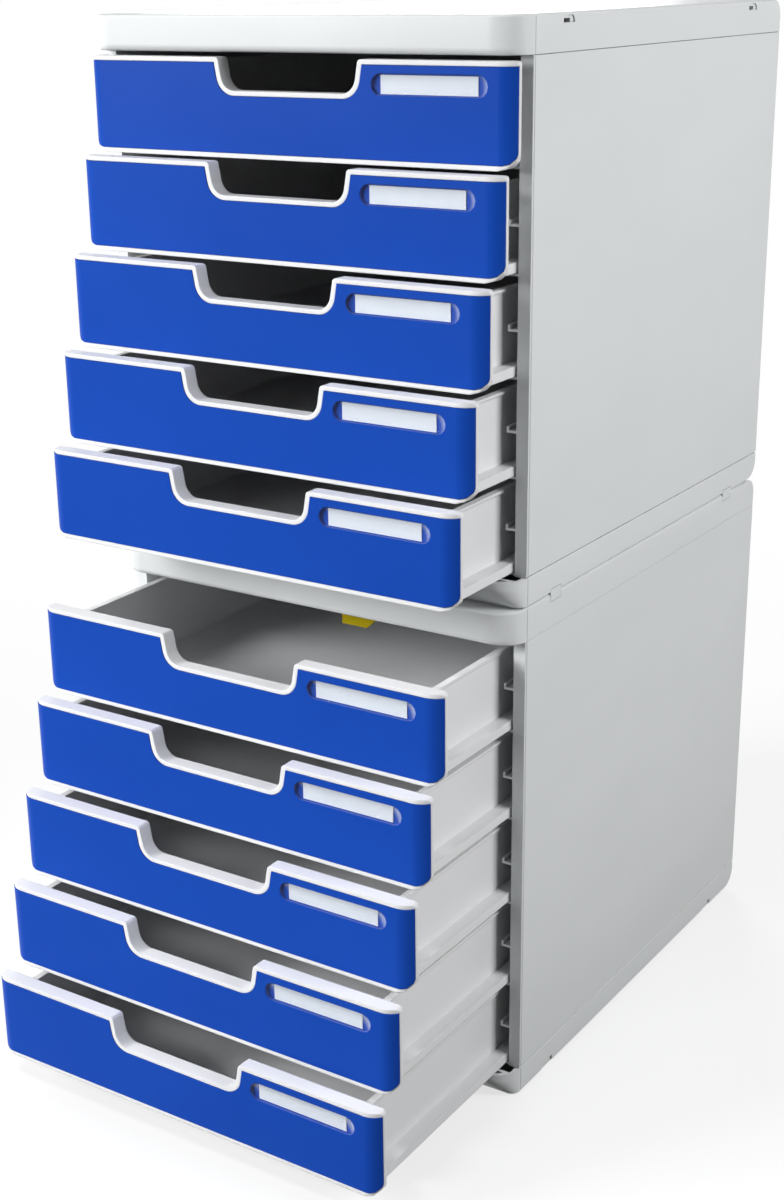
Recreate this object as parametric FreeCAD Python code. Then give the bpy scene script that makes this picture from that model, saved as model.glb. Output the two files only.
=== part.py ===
import FreeCAD, Part
import math
import os

# Stack of two identical desktop drawer modules for loose papers, five sliding trays in each. Millimetres.
# X runs to the right, Y to the back, Z up. The origin is the middle of the footprint of the casing with its
# drawers closed, on the surface it stands on.

# Casing, outer sizes
module_count = 2
bay_count = 5
casing_width = 288.0
casing_depth = 350.0
plinth_height = 1.5
plinth_inset = 1.5
base_height = 16.5
lid_height = 20.0
front_reach = 18.0
nose_setback = 1.0
nose_corner_radius = 18.0
nose_side_taper = 3.0
band_wall = 3.0

# Heights of the drawer fronts in the casing
bay_pitch = 56.0
front_gap = 1.4
lowest_gap = 0.8
top_gap = 2.6

# Side panel
skin_thickness = 2.6
jamb_width = 7.5
jamb_thickness = 3.0
panel_edge_chamfer = 0.9
tongue_thickness = 1.8
tongue_height = 7.0
tongue_setback = 12.0
groove_offset = 2.0
groove_half_width = 0.5
groove_depth = 0.6

# Runner rails on the side panels
rail_web_thickness = 1.4
rail_tip_thickness = 1.4
rail_tip_rise = 2.2
rail_reach = 13.6
half_rail_rise = 26.0

# Clearances
slide_clearance = 0.3
fit_clearance = 0.2
join_tolerance = 0.001
cut_overrun = 2.0

# Lid
lid_top_thickness = 2.6
lid_edge_radius = 1.5
lid_nose_radius = 4.0
lid_nose_corner_share = 0.95
lid_rear_radius = 11.0
lid_inner_radius = 8.0
lid_lip = 3.2
lid_rib_thickness = 1.8
lid_rib_drop = 9.0
lid_rib_shares = [0.25, 0.5, 0.75]
nose_section_count = 3

# Base
base_floor = 2.4
base_nose_face = 4.2
base_nose_middle_share = 0.53
undercut_reach = 11.7
undercut_middle_share = 0.6
base_rear_radius = 12.0
base_inner_radius = 9.0
base_rib_thickness = 1.8
base_rib_height = 6.0
base_rib_shares = [0.25, 0.5, 0.75]
trough_width = 5.0
trough_front_drop = 4.0
trough_rear_drop = 8.0
cross_wall = 2.4
cross_wall_foot = 3.4
cross_wall_foot_rise = 3.6

# Notches in the lower edge of the lower base
edge_notch_width = 13.5
edge_notch_height = 3.6
edge_notch_depth = 1.4

# Back panel
back_thickness = 2.6
back_field_depth = 0.8
back_field_border = 16.0
back_field_radius = 6.0

# Stacking clips and the places for them in lid and base
clip_front_setback = 29.6
clip_rear_setback = 55.0
clip_width = 12.6
clip_thickness = 0.9
clip_below_split = 4.3
clip_above_split = 3.1
clip_leg_thickness = 1.4
clip_leg_width = 8.1
clip_leg_inset = 2.6
clip_leg_reach = 4.2
clip_hook_reach = 1.8
slot_drop = 5.4
slot_height = 2.2
slot_recess_offset = 4.6
slot_recess_width = 7.8
slot_recess_height = 3.8
slot_arc_share = 0.9
slot_recess_depth = 0.8

# Catch behind the nose of each lid: hanging in the lower module, folded back in the upper one
catch_centre = 25.0
catch_width = 26.0
catch_tip_width = 18.0
catch_thickness = 2.0
catch_drop = 15.0
catch_setback = 8.0
catch_foot = 12.0
catch_bend_radius = 3.0
catch_fold_gap = 2.0

# Drawer tray
tray_side_play = 3.8
tray_wall = 2.6
tray_floor = 2.0
tray_floor_rise = 1.6
tray_top_drop = 6.0
tray_rim_outreach = 1.7
tray_rim_thickness = 1.7
tray_corner_reach = 2.4
tray_rear_clearance = 6.0
runner_reach = 8.7
runner_height = 5.6
runner_web = 2.0
runner_lip = 2.0
nib_length = 5.0
nib_overlap = 3.0

# Drawer front
front_side_inset = 0.8
front_thickness = 9.5
front_corner_radius = 12.0
front_end_radius = 2.5
front_end_flats = 3
front_rim = 2.8
front_foot_radius = 10.0
front_head_radius = 3.0
corner_flats = 3
rim_stand = 0.4

# Thumb notch, measured at the edge of the coloured plate
notch_width_share = 0.349
notch_lean = 3.2
notch_depth = 18.0
notch_radius = 12.0
notch_lip_radius = 2.2

# Coloured plate
plate_thickness = 3.0
plate_wrap_share = 0.61
hidden_flats = 2

# Label holder in the plate
holder_end_inset = 15.7
holder_notch_gap = 5.5
holder_drop = 9.9
holder_height = 11.6
holder_depth = 1.9
holder_end_flats = 6
window_thickness = 1.3
card_offset = 0.5
card_end_inset = 6.0
card_edge_inset = 0.9
card_thickness = 0.4

# Travel of a drawer, and how far each one stands open at rest, from the top drawer down
drawer_travel = 240.0
rest_openings = [0.0, 12.2, 27.6, 42.1, 57.5, 73.3, 88.2, 104.7, 121.5, 139.2]

# Places worked out from the sizes
half_width = casing_width / 2
front_y = -casing_depth / 2
rear_y = casing_depth / 2
seam_y = front_y + front_reach
nose_y = front_y + nose_setback
base_top = plinth_height + base_height
lowest_front = base_top + lowest_gap
lid_bottom = lowest_front + bay_count * bay_pitch - front_gap + top_gap
stack_pitch = lid_bottom + lid_height
front_height = bay_pitch - front_gap
skin_inner = half_width - skin_thickness
band_inner = half_width - band_wall
jamb_inner = half_width - jamb_width
rail_inner = half_width - rail_reach
tray_half_width = rail_inner - tray_side_play
front_half_width = half_width - front_side_inset
notch_top_half_width = front_half_width * notch_width_share
notch_bottom_half_width = notch_top_half_width - notch_lean
holder_right = front_half_width - holder_end_inset
holder_left = notch_top_half_width + holder_notch_gap
holder_width = holder_right - holder_left
holder_centre = (holder_right + holder_left) / 2
back_face_y = rear_y - back_thickness
rail_top = lowest_front + tray_floor_rise - slide_clearance
tray_rear_y = back_face_y - tray_rear_clearance
front_back_y = front_y + front_thickness
clip_places = [seam_y + clip_front_setback, rear_y - clip_rear_setback]


def vector(x, y, z):
    """Point or direction in the part's frame."""
    return FreeCAD.Vector(x, y, z)


def box(x0, x1, y0, y1, z0, z1):
    """Block between two corners."""
    return Part.makeBox(x1 - x0, y1 - y0, z1 - z0, vector(x0, y0, z0))


def on_plan(u, v):
    """Outline point seen from above."""
    return vector(u, v, 0)


def on_front(u, v):
    """Outline point seen from the front."""
    return vector(u, 0, v)


def on_side(u, v):
    """Outline point seen from the side."""
    return vector(0, u, v)


def corner_arc(before, corner, after):
    """Start, middle and end of the arc that rounds a corner (u, v, radius) between its two neighbours."""
    u, v, radius = corner
    length_in = math.hypot(before[0] - u, before[1] - v)
    length_out = math.hypot(after[0] - u, after[1] - v)
    in_u, in_v = (before[0] - u) / length_in, (before[1] - v) / length_in
    out_u, out_v = (after[0] - u) / length_out, (after[1] - v) / length_out
    half_angle = math.acos(in_u * out_u + in_v * out_v) / 2
    tangent = radius / math.tan(half_angle)
    reach = (radius / math.sin(half_angle) - radius) / math.hypot(in_u + out_u, in_v + out_v)
    start = (u + in_u * tangent, v + in_v * tangent)
    middle = (u + (in_u + out_u) * reach, v + (in_v + out_v) * reach)
    end = (u + out_u * tangent, v + out_v * tangent)
    return start, middle, end


def outline(points, place):
    """Closed face through corners (u, v) or (u, v, radius), each with a radius rounded by a tangent arc."""
    arcs = []
    for i, point in enumerate(points):
        u, v, *radius = point
        if radius:
            arcs.append(corner_arc(points[i - 1], point, points[(i + 1) % len(points)]))
        else:
            arcs.append(((u, v), None, (u, v)))
    edges = []
    for i, (start, middle, end) in enumerate(arcs):
        if middle:
            edges.append(Part.Arc(place(*start), place(*middle), place(*end)).toShape())
        following = arcs[(i + 1) % len(arcs)][0]
        if math.hypot(following[0] - end[0], following[1] - end[1]) > join_tolerance:
            edges.append(Part.makeLine(place(*end), place(*following)))
    return Part.Face(Part.Wire(edges))


def plan_prism(points, z0, z1):
    """Outline seen from above, carried up from z0 to z1."""
    face = outline(points, on_plan)
    face.translate(vector(0, 0, z0))
    return face.extrude(vector(0, 0, z1 - z0))


def front_prism(points, y0, y1):
    """Outline seen from the front, carried back from y0 to y1."""
    face = outline(points, on_front)
    face.translate(vector(0, y0, 0))
    return face.extrude(vector(0, y1 - y0, 0))


def side_prism(points, x0, x1):
    """Outline seen from the side, carried across from x0 to x1."""
    face = outline(points, on_side)
    face.translate(vector(x0, 0, 0))
    return face.extrude(vector(x1 - x0, 0, 0))


def mirrored(shape):
    """The same shape on the left."""
    return shape.mirror(vector(0, 0, 0), vector(1, 0, 0))


def with_mirror(points):
    """Corners of the right half, followed by those of the left half in turned order."""
    left = [(-point[0],) + tuple(point[1:]) for point in reversed(points)]
    return list(points) + left


def joined(shapes):
    """One solid from several that meet."""
    return shapes[0].multiFuse(shapes[1:]).removeSplitter()


def seam_groove(z0, z1):
    """Fine upright groove on both sides just behind the front edge of the panels, as a cutting tool."""
    y = seam_y + groove_offset
    tip = half_width - groove_depth
    mouth = half_width + cut_overrun
    spread = groove_half_width * (groove_depth + cut_overrun) / groove_depth
    right = plan_prism([(tip, y), (mouth, y - spread), (mouth, y + spread)], z0, z1)
    return [right, mirrored(right)]


def footprint(setback, inset, radius, back_y):
    """Plan corners of a band with rounded front corners."""
    side = half_width - inset
    front = nose_y + setback
    front_side = side - nose_side_taper * (seam_y - front) / (seam_y - nose_y)
    corners = [(side, seam_y), (front_side, front, radius)]
    if back_y > seam_y:
        corners.insert(0, (side, back_y))
    return with_mirror(corners)


def layered(sections, back_y):
    """Solid through plan outlines, each given as (height, front setback, side inset, corner radius)."""
    wires = []
    for z, setback, inset, radius in sections:
        wire = outline(footprint(setback, inset, radius, back_y), on_plan).OuterWire
        wire.translate(vector(0, 0, z))
        wires.append(wire)
    return Part.makeLoft(wires, True, True)


def base_outside():
    """Outer form of the base: band, undercut nose, rounded rear edge and plinth."""
    face_bottom = base_top - base_nose_face
    undercut_height = face_bottom - plinth_height
    middle_z = plinth_height + undercut_height * base_nose_middle_share
    middle_setback = undercut_reach * (1 - undercut_middle_share)
    nose = layered([
        (plinth_height, undercut_reach, 0, nose_corner_radius - undercut_reach),
        (middle_z, middle_setback, 0, nose_corner_radius - middle_setback),
        (face_bottom, 0, 0, nose_corner_radius),
    ], seam_y)
    band = plan_prism(footprint(0, 0, nose_corner_radius, rear_y), face_bottom, base_top)
    rear = box(-half_width, half_width, seam_y, rear_y, plinth_height, face_bottom)
    profile = [
        (front_y - cut_overrun, plinth_height),
        (rear_y, plinth_height, base_rear_radius),
        (rear_y, base_top),
        (front_y - cut_overrun, base_top),
    ]
    body = joined([nose, band, rear]).common(side_prism(profile, -casing_width, casing_width))
    side = half_width - plinth_inset
    plinth = box(-side, side, seam_y, rear_y - base_rear_radius, 0, base_floor)
    return joined([body, plinth]).cut(base_bevels())


def base_bevels():
    """Cutting tools for the bevels along the upper side edges of the base."""
    bevel = panel_edge_chamfer
    right = front_prism([
        (half_width - bevel - cut_overrun, base_top + cut_overrun),
        (half_width + cut_overrun, base_top - bevel - cut_overrun),
        (half_width + cut_overrun, base_top + cut_overrun),
    ], seam_y, rear_y + cut_overrun)
    return [right, mirrored(right)]


def base_hollow():
    """Room inside the base and the open trough behind the rim of its nose."""
    trough_front = nose_y + band_wall
    trough_rear = trough_front + trough_width
    room_front = trough_rear + cross_wall
    above = base_top + cut_overrun
    room = side_prism([
        (room_front + cross_wall_foot, base_floor),
        (rear_y - band_wall, base_floor, base_inner_radius),
        (rear_y - band_wall, above),
        (room_front, above),
        (room_front, base_floor + cross_wall_foot_rise),
    ], -band_inner, band_inner)
    trough = side_prism([
        (trough_front, base_top - trough_front_drop),
        (trough_rear, base_top - trough_rear_drop),
        (trough_rear, above),
        (trough_front, above),
    ], -band_inner, band_inner)
    corner = nose_corner_radius - band_wall
    rounded = plan_prism(footprint(band_wall, band_wall, corner, seam_y), plinth_height, above)
    return [room, trough.common(rounded)]


def clip_place(z0, z1, side_sign):
    """Shallow places in a side face for the plates of the stacking clips."""
    places = []
    for clip_y in clip_places:
        depth = clip_thickness + fit_clearance
        place = box(half_width - depth, half_width + cut_overrun, clip_y - fit_clearance,
                    clip_y + clip_width + fit_clearance, z0, z1)
        places.append(place if side_sign > 0 else mirrored(place))
    return places


def base(with_clips):
    """Base of a module; the upper one has places for the clips, the lower one open edge notches."""
    tools = base_hollow() + seam_groove(0, base_top + cut_overrun)
    for side_sign in (1, -1):
        if with_clips:
            top = clip_above_split + fit_clearance
            tools += clip_place(0, top, side_sign)
            tools += clip_hook_slots(0, top, clip_hook_reach, side_sign)
        else:
            tools += edge_notches(side_sign)
    shape = base_outside().cut(tools)
    ribs = []
    span = rear_y - seam_y
    for share in base_rib_shares:
        y = seam_y + span * share
        ribs.append(box(-band_inner, band_inner, y, y + base_rib_thickness,
                        base_floor, base_floor + base_rib_height))
    return joined([shape] + ribs)


def edge_notches(side_sign):
    """Small notches in the lower side edge of a base."""
    notches = []
    for clip_y in clip_places:
        notch = box(half_width - edge_notch_depth, half_width + cut_overrun,
                    clip_y, clip_y + edge_notch_width, 0, plinth_height + edge_notch_height)
        notches.append(notch if side_sign > 0 else mirrored(notch))
    return notches


def clip_hook_slots(z0, z1, reach, side_sign):
    """Slots that the legs of the clips hook into."""
    slots = []
    for clip_y in clip_places:
        y = clip_y + clip_leg_inset
        slot = box(half_width - reach - fit_clearance, half_width + cut_overrun, y - fit_clearance,
                   y + clip_leg_width + fit_clearance, z0, z1)
        slots.append(slot if side_sign > 0 else mirrored(slot))
    return slots


def lid_outside():
    """Outer form of the lid: rounded nose, side bands and rounded rear edge."""
    nose_top = lid_bottom + lid_nose_radius
    edge_z = stack_pitch - lid_edge_radius
    bullnose = []
    crown = []
    for i in range(nose_section_count):
        turn = math.pi / 2 * i / (nose_section_count - 1)
        share = 1 - math.sin(turn)
        bullnose.append((
            nose_top - lid_nose_radius * math.cos(turn),
            lid_nose_radius * share,
            0,
            nose_corner_radius - lid_nose_radius * lid_nose_corner_share * share,
        ))
        inset = lid_edge_radius * (1 - math.cos(turn))
        z = edge_z + lid_edge_radius * math.sin(turn)
        crown.append((z, inset, inset, nose_corner_radius - inset))
    nose = layered(bullnose, seam_y)
    band = plan_prism(footprint(0, 0, nose_corner_radius, rear_y), nose_top, edge_z)
    rear = box(-half_width, half_width, seam_y, rear_y, lid_bottom, nose_top)
    profile = [
        (front_y - cut_overrun, lid_bottom),
        (rear_y, lid_bottom),
        (rear_y, stack_pitch, lid_rear_radius),
        (front_y - cut_overrun, stack_pitch),
    ]
    body = joined([nose, band, layered(crown, rear_y), rear])
    return body.common(side_prism(profile, -casing_width, casing_width))


def lid_hollow():
    """Room inside the lid, with a narrower part that runs on into the nose."""
    below = lid_bottom - cut_overrun
    ceiling = stack_pitch - lid_top_thickness
    inner_rear = rear_y - band_wall
    front = nose_y + band_wall
    lip = seam_y - lid_lip
    room = side_prism([
        (seam_y, below),
        (inner_rear, below),
        (inner_rear, ceiling, lid_inner_radius),
        (seam_y, ceiling),
    ], -band_inner, band_inner)
    side = half_width - nose_corner_radius
    nose = side_prism([
        (lip, below),
        (seam_y + cut_overrun, below),
        (seam_y + cut_overrun, ceiling),
        (front, ceiling),
        (front, lid_bottom + band_wall, lid_inner_radius),
        (lip, lid_bottom + band_wall),
    ], -side, side)
    return [room, nose]


def open_slots(side_sign):
    """Slots for stacking clips in the sides of a lid that carries nothing, each with a finger recess."""
    cuts = []
    bottom = stack_pitch - slot_drop
    top = bottom + slot_height
    for clip_y in clip_places:
        y0 = clip_y + clip_leg_inset
        y1 = y0 + clip_leg_width
        slot = box(half_width - clip_leg_reach, half_width + cut_overrun, y0, y1, bottom, top)
        recess_y = y0 + slot_recess_offset
        recess = side_prism([
            (recess_y, bottom),
            (recess_y + slot_recess_width, bottom),
            (recess_y + slot_recess_width, bottom + slot_recess_height, slot_recess_height * slot_arc_share),
            (recess_y, bottom + slot_recess_height),
        ], half_width - slot_recess_depth, half_width + cut_overrun)
        for cut in (slot, recess):
            cuts.append(cut if side_sign > 0 else mirrored(cut))
    return cuts


def lid(with_clips):
    """Lid of a module; the lower one has places for the clips, the upper one open slots."""
    tools = lid_hollow() + seam_groove(lid_bottom - cut_overrun, stack_pitch + cut_overrun)
    for side_sign in (1, -1):
        if with_clips:
            bottom = stack_pitch - clip_below_split - fit_clearance
            leg_top = stack_pitch - clip_below_split + clip_leg_thickness + fit_clearance
            tools += clip_place(bottom, stack_pitch + cut_overrun, side_sign)
            tools += clip_hook_slots(bottom, leg_top, clip_leg_reach, side_sign)
        else:
            tools += open_slots(side_sign)
    shape = lid_outside().cut(tools)
    ceiling = stack_pitch - lid_top_thickness
    span = rear_y - seam_y
    ribs = []
    for share in lid_rib_shares:
        y = seam_y + span * share
        ribs.append(box(-band_inner, band_inner, y, y + lid_rib_thickness, ceiling - lid_rib_drop, ceiling))
    return joined([shape] + ribs)


def stacking_clips():
    """The four plates that hold the upper module on the lower one, each hooked into lid and base."""
    z0 = stack_pitch - clip_below_split
    z1 = stack_pitch + clip_above_split
    plate_inner = half_width - clip_thickness
    plates = []
    for clip_y in clip_places:
        plate = box(plate_inner, half_width, clip_y, clip_y + clip_width, z0, z1)
        leg_y0 = clip_y + clip_leg_inset
        leg_y1 = leg_y0 + clip_leg_width
        leg = box(half_width - clip_leg_reach, plate_inner, leg_y0, leg_y1, z0, z0 + clip_leg_thickness)
        hook = box(half_width - clip_hook_reach, plate_inner, leg_y0, leg_y1, z1 - clip_leg_thickness, z1)
        clip = joined([plate, leg, hook])
        plates.append(clip)
        plates.append(mirrored(clip))
    return Part.makeCompound(plates)


def tongue(z_edge, direction, shoulder):
    """Strip along the edge of a side panel that slips behind the wall of the lid or the base."""
    outer = band_inner - fit_clearance
    inner = outer - tongue_thickness
    profile = [
        (inner, z_edge - direction * shoulder),
        (inner, z_edge + direction * tongue_height),
        (outer, z_edge + direction * tongue_height),
        (outer, z_edge),
        (half_width - skin_thickness / 2, z_edge),
        (half_width - skin_thickness / 2, z_edge - direction * shoulder),
    ]
    return front_prism(profile, seam_y + tongue_setback, back_face_y - tongue_setback)


def rail(web_top, root, y0, y1):
    """Runner rail: flat web with an upturned inner tip."""
    web_bottom = web_top - rail_web_thickness
    profile = [
        (root, web_bottom),
        (root, web_top),
        (rail_inner + rail_tip_thickness, web_top),
        (rail_inner + rail_tip_thickness, web_top + rail_tip_rise),
        (rail_inner, web_top + rail_tip_rise),
        (rail_inner, web_bottom),
    ]
    return front_prism(profile, y0, y1)


def side_panel():
    """Right side panel: skin, front and rear returns, rails and tongues."""
    bevel = panel_edge_chamfer
    skin = front_prism([
        (skin_inner, base_top),
        (half_width - bevel, base_top),
        (half_width, base_top + bevel),
        (half_width, lid_bottom - bevel),
        (half_width - bevel, lid_bottom),
        (skin_inner, lid_bottom),
    ], seam_y, rear_y)
    inside_skin = half_width - skin_thickness / 2
    jamb = box(jamb_inner, inside_skin, seam_y, seam_y + jamb_thickness, base_top, lid_bottom)
    return_y = back_face_y - jamb_thickness
    rear_return = box(jamb_inner, inside_skin, return_y, back_face_y, base_top, lid_bottom)
    pieces = [skin, jamb, rear_return]
    shoulder = rail_top - base_top
    pieces.append(tongue(base_top, -1, shoulder))
    pieces.append(tongue(lid_bottom, 1, shoulder))
    for bay in range(bay_count):
        web_top = rail_top + bay * bay_pitch
        pieces.append(rail(web_top, inside_skin, seam_y, return_y))
        pieces.append(rail(web_top + half_rail_rise, inside_skin, seam_y, return_y))
    return joined(pieces).cut(seam_groove(0, stack_pitch)[:1])


def back_panel():
    """Back panel between the side panels, with a shallow sunk field outside."""
    side = skin_inner - fit_clearance
    plate = box(-side, side, back_face_y, rear_y, base_top, lid_bottom)
    right = side - back_field_border
    low = base_top + back_field_border
    high = lid_bottom - back_field_border
    field = front_prism([
        (-right, low, back_field_radius),
        (right, low, back_field_radius),
        (right, high, back_field_radius),
        (-right, high, back_field_radius),
    ], rear_y - back_field_depth, rear_y + cut_overrun)
    return plate.cut(field)


def catch_blade(length):
    """Corners of the blade of a catch, across its width and from its tip (0) to its root."""
    left = catch_centre - catch_width / 2
    return [
        (left, 0),
        (left + catch_tip_width, 0),
        (left + catch_width, catch_drop / 2),
        (left + catch_width, length),
        (left, length),
    ]


def hanging_catch():
    """Catch in its working place: foot under the ceiling of the lid and a blade that narrows to its tip."""
    ceiling = stack_pitch - lid_top_thickness
    y0 = seam_y + catch_setback
    tip = lid_bottom - catch_drop
    bent = side_prism([
        (y0, tip),
        (y0 + catch_thickness, tip),
        (y0 + catch_thickness, ceiling - catch_thickness, catch_bend_radius),
        (y0 + catch_foot, ceiling - catch_thickness),
        (y0 + catch_foot, ceiling),
        (y0, ceiling),
    ], catch_centre - catch_width, catch_centre + catch_width)
    blade = [(x, tip + z) for x, z in catch_blade(ceiling - tip)]
    return bent.common(front_prism(blade, y0 - cut_overrun, y0 + catch_foot + cut_overrun))


def folded_catch():
    """The same catch with its blade turned back under the ceiling, out of the way of the drawers."""
    ceiling = stack_pitch - lid_top_thickness
    y0 = seam_y + catch_setback
    tip = y0 + ceiling - lid_bottom + catch_drop
    upper = ceiling - catch_thickness
    lower = upper - catch_fold_gap
    bottom = lower - catch_thickness
    bent = side_prism([
        (y0, bottom),
        (tip, bottom),
        (tip, lower),
        (y0 + catch_thickness, lower),
        (y0 + catch_thickness, upper),
        (y0 + catch_foot, upper),
        (y0 + catch_foot, ceiling),
        (y0, ceiling),
    ], catch_centre - catch_width, catch_centre + catch_width)
    blade = [(x, tip - y) for x, y in catch_blade(tip - y0)]
    return bent.common(plan_prism(blade, bottom - cut_overrun, ceiling + cut_overrun))


def front_plan():
    """Plan face of the moulded front: flat face, rounded corners and rear ends turned in by short flats."""
    outer = front_corner_radius - rim_stand
    middle_y = front_y + front_corner_radius
    end_y = front_back_y - front_end_radius
    turn = math.acos((middle_y - end_y) / (outer - front_end_radius))
    end_x = front_half_width - front_end_radius
    middle_x = end_x - (outer - front_end_radius) * math.sin(turn)

    def on_corner(centre_x, centre_y, radius, angle, side_sign):
        x = centre_x + radius * math.sin(angle)
        return vector(side_sign * x, centre_y - radius * math.cos(angle), 0)

    edges = []
    ends = []
    for side_sign in (1, -1):
        start = on_corner(middle_x, middle_y, outer, 0, side_sign)
        half = on_corner(middle_x, middle_y, outer, turn / 2, side_sign)
        meet = on_corner(middle_x, middle_y, outer, turn, side_sign)
        edges.append(Part.Arc(start, half, meet).toShape())
        for step in range(front_end_flats):
            angle = turn + (math.pi - turn) * (step + 1) / front_end_flats
            following = on_corner(end_x, end_y, front_end_radius, angle, side_sign)
            edges.append(Part.makeLine(meet, following))
            meet = following
        ends.append((start, meet))
    edges.append(Part.makeLine(ends[0][0], ends[1][0]))
    edges.append(Part.makeLine(ends[0][1], ends[1][1]))
    return Part.Face(Part.Wire(Part.__sortEdges__(edges))), middle_x


def corner_place(radius, angle):
    """Plan point on a circle round the middle of the right front corner, turned from straight ahead."""
    middle_x = front_plan()[1]
    middle_y = front_y + front_corner_radius
    return middle_x + radius * math.sin(angle), middle_y - radius * math.cos(angle)


def hidden_corners(radius, turn):
    """Plan corners of the short flats behind the right rounded corner, from its side to its front."""
    return [corner_place(radius, turn * (1 - step / hidden_flats)) for step in range(hidden_flats + 1)]


def wrapped_band():
    """Plan face of the coloured plate: follows the front and wraps round both corners."""
    turn = plate_wrap_share * math.pi / 2
    outer = front_corner_radius
    path = [corner_place(outer, turn)] + hidden_corners(front_corner_radius - plate_thickness, turn)
    edges = []
    for side_sign in (1, -1):
        points = [vector(side_sign * x, y, 0) for x, y in path]
        for start, end in zip(points, points[1:]):
            edges.append(Part.makeLine(start, end))
        arc = [corner_place(outer, angle) for angle in (turn, turn / 2, 0)]
        edges.append(Part.Arc(*[vector(side_sign * x, y, 0) for x, y in arc]).toShape())
    for x, y in (corner_place(outer, 0), path[-1]):
        edges.append(Part.makeLine(vector(-x, y, 0), vector(x, y, 0)))
    return Part.Face(Part.Wire(Part.__sortEdges__(edges)))


def seat_corners():
    """Plan corners of the room for the coloured plate."""
    turn = plate_wrap_share * math.pi / 2 + fit_clearance / front_corner_radius
    corners = [corner_place(front_corner_radius + cut_overrun, turn)]
    corners += hidden_corners(front_corner_radius - plate_thickness - fit_clearance, turn)
    left = [(-x, y) for x, y in reversed(corners)]
    left.append((-corners[0][0], front_y - cut_overrun))
    return corners + left + [(corners[0][0], front_y - cut_overrun)]


def flat_corner(side, level, radius, rise):
    """Front corners that round an outer corner by short flats, from its level edge to its upright one."""
    corners = []
    for step in range(corner_flats + 1):
        angle = math.pi / 2 * step / corner_flats
        x = side - radius * (1 - math.sin(angle))
        corners.append((x, level + rise * radius * (1 - math.cos(angle))))
    return corners


def plate_outline(growth):
    """Front corners of the coloured plate, moved outwards by the growth."""
    low = lowest_front + front_rim - growth
    high = lowest_front + front_height - front_rim + growth
    side = corner_place(front_corner_radius, plate_wrap_share * math.pi / 2)[0] + growth
    notch_z = lowest_front + front_height - front_rim - notch_depth + growth
    lean = (notch_top_half_width - notch_bottom_half_width) / notch_depth
    notch_low = notch_bottom_half_width - growth
    notch_high = notch_low + lean * (high - notch_z)
    return with_mirror(flat_corner(side, low, front_foot_radius - front_rim + growth, 1) + [
        (side, high),
        (notch_high, high),
        (notch_low, notch_z, notch_radius - growth),
    ])


def moulding_outline():
    """Front corners of the moulded front: the plate's outline moved out by the rim, with a notch to match."""
    top = lowest_front + front_height
    notch_z = top - notch_depth
    lean = (notch_top_half_width - notch_bottom_half_width) / notch_depth
    notch_low = notch_bottom_half_width - front_rim
    notch_high = notch_low + lean * (top - notch_z)
    foot = flat_corner(front_half_width, lowest_front, front_foot_radius, 1)
    head = flat_corner(front_half_width, top, front_head_radius, -1)
    return with_mirror(foot + head[::-1] + [
        (notch_high, top, notch_lip_radius),
        (notch_low, notch_z, notch_radius - front_rim),
    ])


def upright(face, z0, z1):
    """Plan face carried up from z0 to z1."""
    moved = face.copy()
    moved.translate(vector(0, 0, z0))
    return moved.extrude(vector(0, 0, z1 - z0))


def front_moulding():
    """White moulded front: rim, notch and the seat for the coloured plate."""
    top = lowest_front + front_height
    solid = upright(front_plan()[0], lowest_front, top)
    before = front_y - cut_overrun
    solid = solid.common(front_prism(moulding_outline(), before, front_back_y + cut_overrun))
    seat = plan_prism(seat_corners(), lowest_front, top)
    return solid.cut(seat.common(front_prism(plate_outline(fit_clearance), before, front_back_y)))


def tray_section():
    """Cross-section of the tray: floor, walls with rims, and inverted channels that hang on the rails."""
    floor_z = lowest_front + tray_floor_rise
    top = lowest_front + front_height - tray_top_drop
    inner = tray_half_width - tray_wall
    runner = tray_half_width + runner_reach
    rim = tray_half_width + tray_rim_outreach
    web_z = floor_z + runner_height
    return with_mirror([
        (tray_half_width, floor_z),
        (tray_half_width, web_z - runner_web),
        (runner - runner_lip, web_z - runner_web),
        (runner - runner_lip, floor_z),
        (runner, floor_z),
        (runner, web_z),
        (tray_half_width, web_z),
        (tray_half_width, top - tray_rim_thickness),
        (rim, top - tray_rim_thickness),
        (rim, top),
        (inner, top),
        (inner, floor_z + tray_floor + tray_corner_reach),
        (inner - tray_corner_reach, floor_z + tray_floor),
    ])


def tray():
    """Drawer without its plate: moulded front, tray, runner channels and stop nibs, closed, lowest bay."""
    floor_z = lowest_front + tray_floor_rise
    top = lowest_front + front_height - tray_top_drop
    overlap_y = front_back_y - rim_stand
    shell = front_prism(tray_section(), overlap_y, tray_rear_y)
    rear = box(-tray_half_width, tray_half_width, tray_rear_y - tray_wall, tray_rear_y,
               floor_z, top)
    pieces = [front_moulding(), shell, rear]
    runner = tray_half_width + runner_reach
    nib_front = seam_y + jamb_thickness + slide_clearance + drawer_travel
    nib = box(runner - runner_lip, jamb_inner + nib_overlap, nib_front, nib_front + nib_length,
              floor_z, floor_z + runner_height)
    pieces.append(nib)
    pieces.append(mirrored(nib))
    return joined(pieces)


def stadium(width, height, centre_x, centre_z):
    """Front corners of a bar whose round ends are made of short flats."""
    radius = height / 2
    middle = width / 2 - radius
    corners = []
    for side_sign in (1, -1):
        for step in range(holder_end_flats + 1):
            angle = math.pi * (step / holder_end_flats - 1 / 2)
            x = side_sign * (middle + radius * math.cos(angle))
            corners.append((centre_x + x, centre_z + side_sign * radius * math.sin(angle)))
    return corners


def holder_z():
    """Height of the middle of the label holder."""
    return lowest_front + front_height - front_rim - holder_drop


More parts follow.
